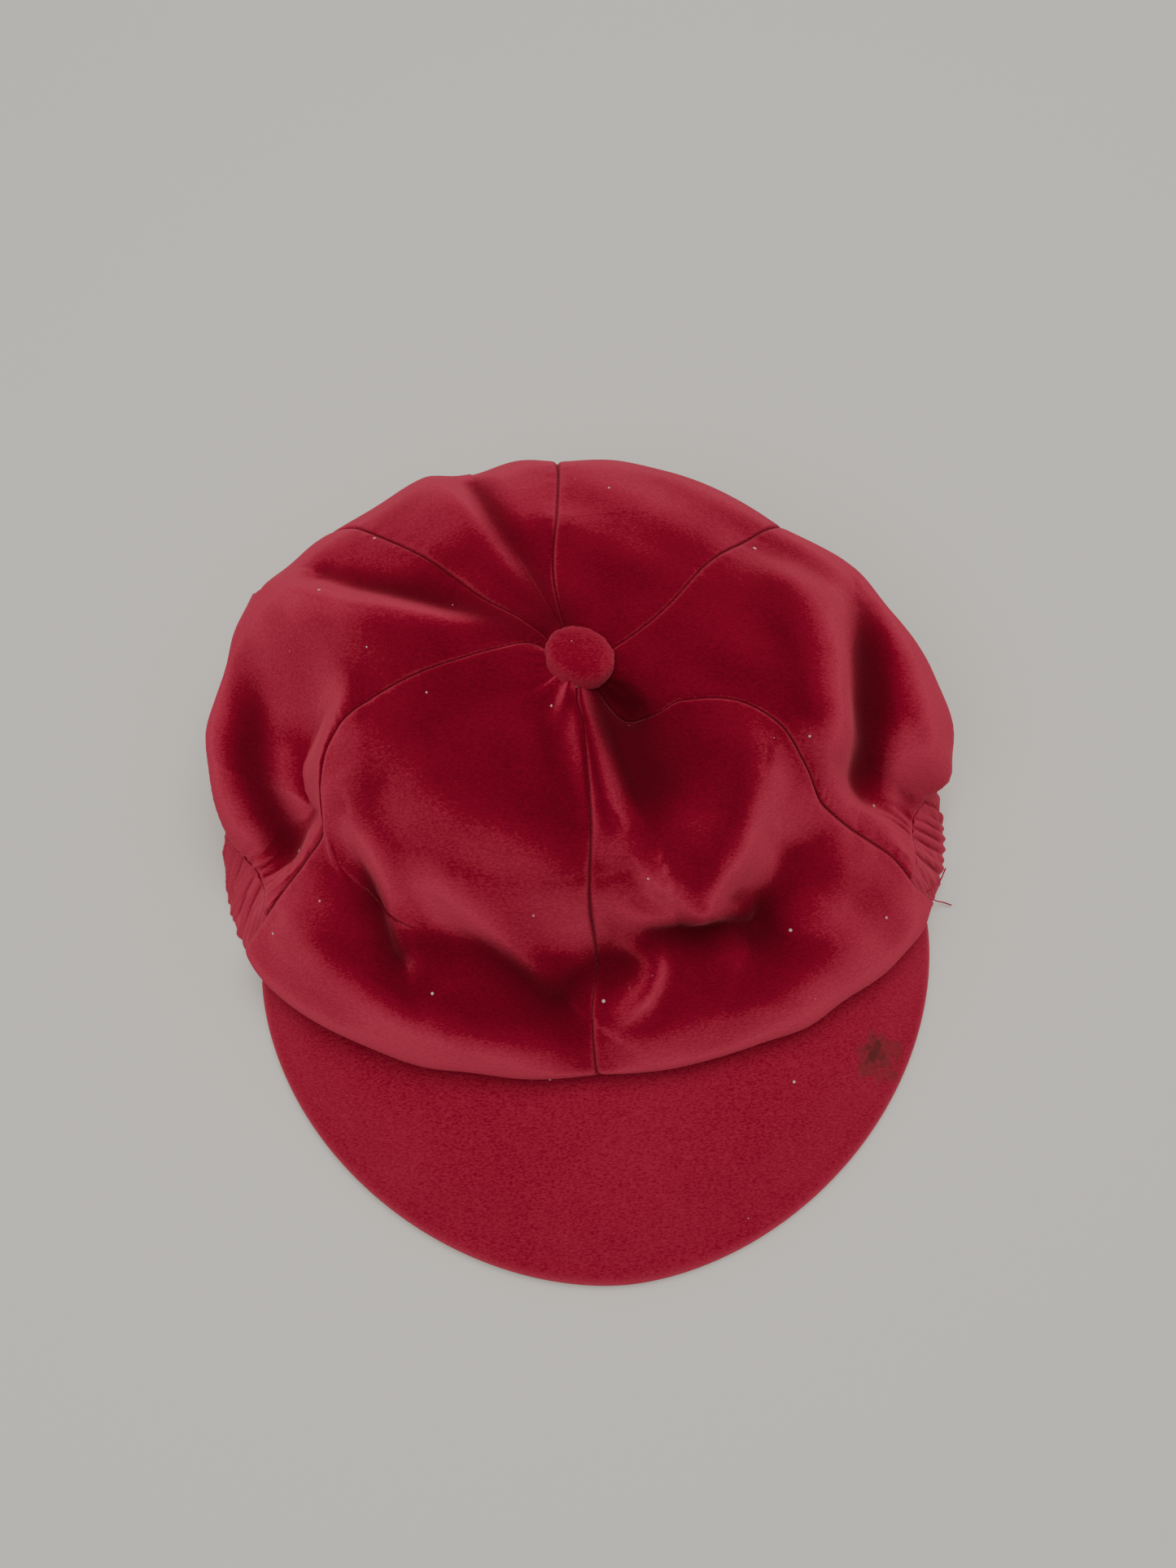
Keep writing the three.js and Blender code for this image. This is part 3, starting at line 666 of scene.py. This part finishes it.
def peak_cover(name, side):
    """The velvet over or under the board. Its rim rolls over and ends at the middle of the edge."""
    rows, columns = 181, 54
    across = np.linspace(-1, 1, rows)
    out = 1 - (1 - np.linspace(0, 1, columns)) ** 1.5
    half = PEAK_THICKNESS / 2
    faces = []
    for depth in (0.0, 1.0):
        grid = np.zeros((rows, columns, 3))
        for j, o in enumerate(out):
            middle = peak_surface(across, np.full(rows, o))
            start = peak_surface(across, np.zeros(rows))
            end = peak_surface(across, np.ones(rows))
            length = np.linalg.norm((end - start)[:, :2], axis=1)
            from_edge = (1 - o) * length
            roll = np.clip(from_edge / PEAK_EDGE, 0, 1)
            swell = np.sqrt(np.maximum(1 - (1 - roll) ** 2, 0))
            grid[:, j] = middle
            grid[:, j, 2] += side * (0.03 + (half - 0.03 - depth) * swell)
            grid[:, j, 2] += side * 0.25 * bell((from_edge - 3) / 2) * (1 - depth)
        if depth:
            inward = np.array([0, CENTRE_Y - 20]) - grid[:, -12:, :2]
            inward /= np.linalg.norm(inward, axis=2, keepdims=True)
            grid[:, -12:, :2] += inward * (depth * 0.9) * np.linspace(0, 1, 12)[None, :, None]
        faces.append(grid)
    piece = shell(name, faces[0], faces[1])
    # A painted highlight: the cover's outer face turns paler towards its rolled edge.
    crest = np.zeros((2, rows, columns))
    piece_out = np.clip((np.arange(columns) - (columns - 9)) / 8, 0, 1)
    crest[0] = 0.7 * piece_out[None, :]
    attribute(piece, "crest", crest.ravel())
    return piece


# ---------------------------------------------------------------- button and label


BUTTON_RINGS, BUTTON_SPOKES = 48, 96
BUTTON_RADIUS = 9.5
DOME_HEIGHT = 4.9
DOME_SHARE, SIDE_SHARE = 0.64, 0.2  # of the way along the profile; the rest is turned in underneath
SIDE_HEIGHT = 3.4
SIDE_TAPER = 0.35
TURN_IN, TURN_DOWN = 2.8, 0.9
BUTTON_CLOTH = 0.8
BUTTON_CENTRE = np.array([BUTTON[0] + 0.8, BUTTON[1] + 2.7, CROWN_TOP + 2.8])
BUTTON_TILT = math.radians(20)  # its front edge rides up on the ridge beside the front seam
BUTTON_LEAN = np.array([0.64, 0.768])  # the way that it leans, in plan
BUTTON_SQUASH = 0.92  # its size that way, against its size across


def button_profile(t):
    """The radius and the height at a share of the way along the button's profile, from its top."""
    if t < DOME_SHARE:
        quarter = t / DOME_SHARE * math.pi / 2
        return BUTTON_RADIUS * math.sin(quarter) ** 0.92, DOME_HEIGHT * math.cos(quarter) ** 0.85
    if t < DOME_SHARE + SIDE_SHARE:
        k = (t - DOME_SHARE) / SIDE_SHARE
        return BUTTON_RADIUS - SIDE_TAPER * k * k, -SIDE_HEIGHT * k
    k = max(0.0, (t - DOME_SHARE - SIDE_SHARE) / (1 - DOME_SHARE - SIDE_SHARE))
    return BUTTON_RADIUS - SIDE_TAPER - TURN_IN * k**1.5, -SIDE_HEIGHT - TURN_DOWN * math.sin(k * math.pi / 2)


def button_cover():
    """The covered button: a shallow dome with a soft edge and a low side, turned in underneath."""
    turn = np.linspace(0, 2 * math.pi, BUTTON_SPOKES, endpoint=False)
    profile = np.array([button_profile(t) for t in np.linspace(0, 1, BUTTON_RINGS)])
    profile[:, 0] = np.maximum(profile[:, 0], 0.05)
    along = np.gradient(profile, axis=0)
    inward = np.column_stack([along[:, 1], -along[:, 0]]) / np.linalg.norm(along, axis=1, keepdims=True)
    points = []
    for inset in (0.0, BUTTON_CLOTH):
        grid = np.zeros((BUTTON_SPOKES, BUTTON_RINGS, 3))
        for j, (r, z) in enumerate(profile + inward * inset):
            wave = 0.12 * np.sin(11 * turn + 0.7) * smoothstep((r - 5) / 3)
            wave += 0.08 * np.sin(23 * turn) * smoothstep((r - 6) / 2)
            around = max(r, 0.03) + wave
            grid[:, j] = np.column_stack([around * np.cos(turn), around * np.sin(turn), np.full(BUTTON_SPOKES, z)])
        side = grid[..., 0] * BUTTON_LEAN[0] + grid[..., 1] * BUTTON_LEAN[1]
        grid[..., :2] -= (1 - BUTTON_SQUASH) * side[..., None] * BUTTON_LEAN
        side *= BUTTON_SQUASH
        lean = side * (math.cos(BUTTON_TILT) - 1) + grid[..., 2] * math.sin(BUTTON_TILT)
        grid[..., 2] = grid[..., 2] * math.cos(BUTTON_TILT) - side * math.sin(BUTTON_TILT)
        grid[..., :2] += lean[..., None] * BUTTON_LEAN
        points.append(grid + BUTTON_CENTRE)
    piece = shell("velvet_button", points[0], points[1], closed=True)
    # An even crest value: the button gets almost none of the painted crest highlight.
    attribute(piece, "crest", np.full(len(piece.data.vertices), 0.1))
    return piece


def care_label():
    turns = np.linspace(143, 157, 12)
    return shell("label_tab", sweatband_wall(turns, 1.4)[:, 3:11], sweatband_wall(turns, 1.9)[:, 3:11])


# ---------------------------------------------------------------- thread tail


def tube(name, lines, radius, sides=8):
    """Round strands along smooth lines through the given points, each closed at both ends."""
    points, faces = [], []
    for line in lines:
        path = through(line, 40)
        along = np.gradient(path, axis=0)
        along /= np.linalg.norm(along, axis=1, keepdims=True)
        across = np.cross(along, [0.0, 0.3, 1.0])
        across /= np.linalg.norm(across, axis=1, keepdims=True)
        other = np.cross(along, across)
        start = len(points)
        for k in range(len(path)):
            for turn in np.linspace(0, 2 * math.pi, sides, endpoint=False):
                points.append(path[k] + radius * (across[k] * math.cos(turn) + other[k] * math.sin(turn)))
        for k in range(len(path) - 1):
            for j in range(sides):
                a, b = start + k * sides + j, start + k * sides + (j + 1) % sides
                faces.append((a, b, b + sides, a + sides))
        faces.append(tuple(start + j for j in reversed(range(sides))))
        faces.append(tuple(len(points) - sides + j for j in range(sides)))
    return to_object(name, np.array(points), faces)


TAIL = [
    [(100.5, -16, 12), (103, -14.5, 11), (107, -12, 8), (111, -7, 5)],
    [(100.5, -16, 11), (104, -17, 8), (108, -17, 3), (112, -18, 1)],
]


# ---------------------------------------------------------------- floor, light, camera


FLOOR_COLOR = (0.63, 0.605, 0.55, 1)


def add_floor():
    bpy.ops.mesh.primitive_plane_add(size=6, location=(0, 0, 0))
    floor = bpy.context.object
    floor.name = "floor"
    material = bpy.data.materials.new("floor")
    material.use_nodes = True
    shader = material.node_tree.nodes["Principled BSDF"]
    shader.inputs["Base Color"].default_value = FLOOR_COLOR
    shader.inputs["Roughness"].default_value = 0.75
    floor.data.materials.append(material)


def add_lights():
    world = bpy.data.worlds.new("world")
    bpy.context.scene.world = world
    world.use_nodes = True
    world.node_tree.nodes["Background"].inputs["Color"].default_value = (1, 0.98, 0.95, 1)
    world.node_tree.nodes["Background"].inputs["Strength"].default_value = 0.35
    for name, place, size, power in (
        ("key", (0.15, 0.25, 1.5), 1.1, 17),
        ("fill", (-0.7, -0.5, 1.2), 0.9, 3.5),
    ):
        light = bpy.data.lights.new(name, "AREA")
        light.energy = power
        light.size = size
        lamp = bpy.data.objects.new(name, light)
        lamp.location = place
        bpy.context.scene.collection.objects.link(lamp)
        aim(lamp, (0, 0, 0.03))


def aim(thing, target):
    direction = Vector(target) - thing.location
    thing.rotation_euler = direction.to_track_quat("-Z", "Y").to_euler()


CAMERA_PLACE = (-0.0083, -0.0856, 0.3634)
CAMERA_PITCH = 72.0  # degrees below the horizon
CAMERA_YAW = 5.0
CAMERA_LENS = 27.0


def add_camera():
    data = bpy.data.cameras.new("camera")
    data.lens = CAMERA_LENS
    data.sensor_fit = "VERTICAL"
    data.sensor_height = 36
    data.clip_start = 0.01
    camera = bpy.data.objects.new("camera", data)
    bpy.context.scene.collection.objects.link(camera)
    camera.location = CAMERA_PLACE
    camera.rotation_euler = (math.radians(90 - CAMERA_PITCH), 0, -math.radians(CAMERA_YAW))
    bpy.context.scene.camera = camera


def material(name, roughness=0.8, color=(0.5, 0.5, 0.5)):
    made = bpy.data.materials.new(name)
    made.use_nodes = True
    nodes, links = made.node_tree.nodes, made.node_tree.links
    shader = nodes["Principled BSDF"]
    shader.inputs["Roughness"].default_value = roughness
    shader.inputs["Base Color"].default_value = (*color, 1)
    return made, nodes, links, shader


def noise(nodes, links, place, scale, detail=3.0, rough=0.5):
    node = nodes.new("ShaderNodeTexNoise")
    node.inputs["Scale"].default_value = scale
    node.inputs["Detail"].default_value = detail
    node.inputs["Roughness"].default_value = rough
    links.new(place.outputs["Object"], node.inputs["Vector"])
    return node.outputs["Fac"]


def remap(nodes, links, value, low, high, to_low=0.0, to_high=1.0, smooth=True):
    node = nodes.new("ShaderNodeMapRange")
    node.interpolation_type = "SMOOTHSTEP" if smooth else "LINEAR"
    for key, number in (("From Min", low), ("From Max", high), ("To Min", to_low), ("To Max", to_high)):
        node.inputs[key].default_value = number
    links.new(value, node.inputs["Value"])
    return node.outputs["Result"]


def maths(nodes, links, operation, *values):
    node = nodes.new("ShaderNodeMath")
    node.operation = operation
    node.use_clamp = operation == "ADD"
    for k, value in enumerate(values):
        if isinstance(value, (int, float)):
            node.inputs[k].default_value = value
        else:
            links.new(value, node.inputs[k])
    return node.outputs["Value"]


def blend(nodes, links, factor, a, b):
    node = nodes.new("ShaderNodeMix")
    node.data_type = "RGBA"
    for key, value in (("Factor", factor), ("A", a), ("B", b)):
        if isinstance(value, tuple):
            node.inputs[key if key == "Factor" else 6 + (key == "B")].default_value = value
        else:
            links.new(value, node.inputs[0] if key == "Factor" else node.inputs[6 + (key == "B")])
    return node.outputs[2]


# The velvet's reds, from deep to pale: the blend between them paints sheen and shade into its colour.
DEEP_RED = (0.115, 0.0004, 0.008, 1)
MID_RED = (0.23, 0.004, 0.020, 1)
PALE_RED = (0.44, 0.034, 0.070, 1)
# Painted shade deep in a fold, where the light does not reach.
FOLD_SHADE_RED = (0.045, 0.0002, 0.003, 1)  # deep in a fold
LINT = (0.62, 0.52, 0.48, 1)


# Marks on the velvet, a brown stain among them: the place in millimetres, its radius, its colour and how strong it
# is.
MARKS = [
    ((79, -62, 7), 8.5, (0.10, 0.030, 0.022, 1), 0.45),
    ((78, -61, 7), 5.0, (0.045, 0.018, 0.014, 1), 0.6),
    ((-99, 8, 40), 1.0, (0.01, 0.004, 0.004, 1), 0.95),
    ((41, -91, 3), 1.0, (0.06, 0.006, 0.006, 1), 0.8),
    ((8, -40, 36), 2.5, (0.50, 0.10, 0.12, 1), 0.35),
]


def mark(nodes, links, place, spot, radius, amount):
    """1 inside an uneven round mark at a place, fading to 0 at its edge."""
    away = nodes.new("ShaderNodeVectorMath")
    away.operation = "DISTANCE"
    away.inputs[1].default_value = tuple(v * MM for v in spot)
    links.new(place.outputs["Object"], away.inputs[0])
    blotches = noise(nodes, links, place, 2.2 / (radius * MM), 3)
    ragged = remap(nodes, links, blotches, 0.3, 0.7, -0.4, 0.4, smooth=False)
    ratio = maths(nodes, links, "MULTIPLY_ADD", away.outputs["Value"], 1 / (radius * MM), ragged)
    return remap(nodes, links, ratio, 0.45, 1.05, amount, 0.0)


def specks(nodes, links, place):
    """1 on a few specks of lint, of half a millimetre or so, and 0 elsewhere."""
    cells = nodes.new("ShaderNodeTexVoronoi")
    cells.inputs["Scale"].default_value = 130
    links.new(place.outputs["Object"], cells.inputs["Vector"])
    chance = nodes.new("ShaderNodeSeparateXYZ")
    links.new(cells.outputs["Color"], chance.inputs["Vector"])
    size = remap(nodes, links, chance.outputs["X"], 0.45, 1.0, 0.0, 0.07, smooth=False)
    inside = maths(nodes, links, "LESS_THAN", cells.outputs["Distance"], size)
    return maths(nodes, links, "MULTIPLY", inside, 0.7)


def velvet_material(name="velvet", base=0.0, slope=(-0.02, 0.4), strength=1.02, nap_size=24, uneven=0.14):
    """Velvet with painted sheen and painted shade in its base colour: deep where it faces the eye, pale where it
    turns away from the eye or from straight up, with painted highlights along crests and painted shade in creases,
    seams, fold hollows and on faces turned to the back. Nap patches and grain vary its tone at random, and lint and
    marks lie over it.
    """
    made, nodes, links, shader = material(name, 0.9)
    shader.inputs["Specular IOR Level"].default_value = 0.08
    shader.inputs["Sheen Weight"].default_value = 0.35
    shader.inputs["Sheen Roughness"].default_value = 0.35
    shader.inputs["Sheen Tint"].default_value = (1.0, 0.2, 0.26, 1)
    place = nodes.new("ShaderNodeTexCoord")
    layer = nodes.new("ShaderNodeLayerWeight")
    layer.inputs["Blend"].default_value = 0.5
    surface = nodes.new("ShaderNodeNewGeometry")
    parts = nodes.new("ShaderNodeSeparateXYZ")
    links.new(surface.outputs["Normal"], parts.inputs["Vector"])
    # Painted sheen: paler where the surface tilts away from straight up, and where it turns from the eye.
    tilt = maths(nodes, links, "SUBTRACT", 1.0, parts.outputs["Z"])
    turned = maths(nodes, links, "MULTIPLY", layer.outputs["Facing"], 0.5)
    turned = maths(nodes, links, "MULTIPLY_ADD", tilt, 0.5, turned)
    # Painted shade: faces turned towards the back are darker.
    behind = maths(nodes, links, "MULTIPLY", maths(nodes, links, "MAXIMUM", parts.outputs["Y"], 0.0), 0.16)
    turned = maths(nodes, links, "SUBTRACT", turned, behind)
    pale = remap(nodes, links, turned, slope[0], slope[1], base, strength, smooth=False)
    # Painted highlight on crests and painted shade in creases and seams, from the crest value.
    crest = nodes.new("ShaderNodeAttribute")
    crest.attribute_name = "crest"
    raised = remap(nodes, links, crest.outputs["Fac"], 0.05, 0.9, 0.0, 0.3)
    sunk = remap(nodes, links, crest.outputs["Fac"], -0.9, -0.05, 0.45, 1.0)
    nap = remap(nodes, links, noise(nodes, links, place, nap_size, 4), 0.3, 0.7, -uneven, uneven, smooth=False)
    rows = nodes.new("ShaderNodeMapping")
    rows.inputs["Scale"].default_value = (1.0, 2.2, 1.0)
    links.new(place.outputs["Object"], rows.inputs["Vector"])
    grain = nodes.new("ShaderNodeTexNoise")
    grain.inputs["Scale"].default_value = 1000
    grain.inputs["Detail"].default_value = 3
    grain.inputs["Roughness"].default_value = 0.7
    links.new(rows.outputs["Vector"], grain.inputs["Vector"])
    fuzz = remap(nodes, links, grain.outputs["Fac"], 0.3, 0.7, -0.16, 0.16, smooth=False)
    # Painted shade deep in fold hollows and along the seams: the colour turns less pale there.
    fold_shade = nodes.new("ShaderNodeAttribute")
    fold_shade.attribute_name = "fold_shade"
    lit = remap(nodes, links, fold_shade.outputs["Fac"], 0.15, 0.9, 1.0, 0.3)
    pale = maths(nodes, links, "ADD", pale, raised)
    pale = maths(nodes, links, "MULTIPLY", pale, sunk)
    pale = maths(nodes, links, "MULTIPLY", pale, lit)
    pale = maths(nodes, links, "ADD", pale, nap)
    pale = maths(nodes, links, "ADD", pale, fuzz)
    # Painted sheen and shade: the colour runs from deep through mid to pale red as the pale value rises.
    dark = blend(nodes, links, remap(nodes, links, pale, 0.0, 0.5, smooth=False), DEEP_RED, MID_RED)
    color = blend(nodes, links, remap(nodes, links, pale, 0.4, 1.0, smooth=False), dark, PALE_RED)
    # Painted shade: deep fold hollows are drawn towards a near-black red.
    deep = remap(nodes, links, fold_shade.outputs["Fac"], 0.2, 1.0, 0.0, 0.6)
    color = blend(nodes, links, deep, color, FOLD_SHADE_RED)
    color = blend(nodes, links, specks(nodes, links, place), color, LINT)
    for spot, radius, tone, amount in MARKS:
        color = blend(nodes, links, mark(nodes, links, place, spot, radius, amount), color, tone)
    links.new(color, shader.inputs["Base Color"])
    bump = nodes.new("ShaderNodeBump")
    bump.inputs["Strength"].default_value = 0.5
    bump.inputs["Distance"].default_value = 0.0004
    links.new(noise(nodes, links, place, 1100, 2), bump.inputs["Height"])
    links.new(bump.outputs["Normal"], shader.inputs["Normal"])
    return made


def cloth_material(name, color, scale, roughness=0.8, weave=0.25):
    made, nodes, links, shader = material(name, roughness, color)
    place = nodes.new("ShaderNodeTexCoord")
    shade = remap(nodes, links, noise(nodes, links, place, scale, 3), 0.3, 0.7, smooth=False)
    dark = (color[0] * (1 - weave), color[1] * (1 - weave), color[2] * (1 - weave), 1)
    links.new(blend(nodes, links, shade, dark, (*color, 1)), shader.inputs["Base Color"])
    bump = nodes.new("ShaderNodeBump")
    bump.inputs["Strength"].default_value = 0.3
    bump.inputs["Distance"].default_value = 0.0003
    links.new(noise(nodes, links, place, scale * 3, 2), bump.inputs["Height"])
    links.new(bump.outputs["Normal"], shader.inputs["Normal"])
    return made


def solid_material(name, color, roughness, metallic=0.0):
    made, nodes, links, shader = material(name, roughness, color)
    shader.inputs["Metallic"].default_value = metallic
    place = nodes.new("ShaderNodeTexCoord")
    rough = remap(nodes, links, noise(nodes, links, place, 300, 3), 0.3, 0.7, roughness - 0.06, roughness + 0.06)
    links.new(rough, shader.inputs["Roughness"])
    return made


# The velvets paint sheen and shade into their colour; the peak's and the button's start paler and turn pale more
# gently.
VELVET_MATERIAL = velvet_material()
PEAK_VELVET = velvet_material("velvet_peak", base=0.5, slope=(0.05, 0.6), strength=0.95, nap_size=40, uneven=0.03)
SATIN = cloth_material("lining_satin", (0.20, 0.008, 0.016), 180, 0.4, 0.12)
CANVAS = cloth_material("stay_canvas", (0.72, 0.68, 0.60), 500, 0.9, 0.2)
BUTTON_VELVET = velvet_material("velvet_button", base=0.34, slope=(0.02, 0.6), strength=0.8)
ELASTIC = cloth_material("elastic_webbing", (0.78, 0.75, 0.68), 700, 0.8, 0.3)
TWILL = cloth_material("sweatband_cotton", (0.13, 0.010, 0.018), 600, 0.85, 0.3)
TAPE = cloth_material("label_tape", (0.87, 0.85, 0.80), 800, 0.7, 0.1)
BOARD_PLASTIC = solid_material("peak_plastic", (0.03, 0.03, 0.032), 0.6)
METAL = solid_material("button_metal", (0.5, 0.5, 0.52), 0.35, 1.0)


def place(piece, finish, slot, *nodes):
    piece.data.materials.append(finish)
    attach(piece, BODY)
    if nodes:
        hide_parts(*nodes)
    return piece


def cut(piece, width, length, area=None, held="gathered", rests_on=()):
    """Stands for the size in mm, and the area in square centimetres, that a piece of cloth was cut to. It does
    nothing with them.
    """


LINING_DEPTH = 3.0
STAY_MARGIN = 4.0  # the stays stop this far short of the front panels' seams
LINING_CUTS = {"front": (110, 115, 85), "side": (95, 85, 45), "back": (72, 78, 31)}
for panel in PANELS:
    cut(place(crown_panel(panel), VELVET_MATERIAL, "velvet", "crown_panel_" + panel), 120, 160, 105)
    lining = crown_layer(panel, "lining_" + panel, LINING_DEPTH, LINING, 0.05, 0.70)
    place(lining, SATIN, "lining_satin", "lining_panel_" + panel)
    cut(lining, *LINING_CUTS[panel.split("_")[0]], held="hung")
for side in ("left", "right"):
    stay = crown_layer("front_" + side, "stay_cloth_" + side, 1.6, 0.7, 0.55, 0.93, STAY_MARGIN)
    place(stay, CANVAS, "stay_canvas", "stay_front_" + side)
    cut(stay, 110, 55, 40, held="laid", rests_on=["velvet_panel_front_" + side])
cut(place(band_casing(), VELVET_MATERIAL, "velvet", "band_casing"), 44, 450)
back_turns = np.linspace(BAND_START + 0.8, 360 - BAND_START - 0.8, 160)
elastic = band_strip("elastic_webbing_strip", back_turns, 0.1, 0.93, 1.75, 0.6)
cut(place(elastic, ELASTIC, "elastic_webbing", "elastic_strip"), 16.5, 320, held="stretched")
cut(place(sweatband(), TWILL, "sweatband_cotton", "sweatband"), 22, 560, held="folded")
for side, way in (("top", 1), ("under", -1)):
    cover = place(peak_cover("velvet_peak_" + side, way), PEAK_VELVET, "velvet", f"peak_{side}_cover")
    cut(cover, 206, 98, 115, held="stretched", rests_on=["peak_board"])
cut(place(button_cover(), BUTTON_VELVET, "velvet", "button_cover"), 34, 34, 9.08, rests_on=["button_shell"])
cut(place(care_label(), TAPE, "label_tape", "care_label"), 20, 17, held="hung")
place(tube("thread_tail", TAIL, 0.22), VELVET_MATERIAL, "velvet")

for name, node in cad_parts.items():
    node.data.materials.clear()
    node.data.materials.append(BOARD_PLASTIC if name == "peak_board" else METAL)

add_floor()
add_lights()
add_camera()
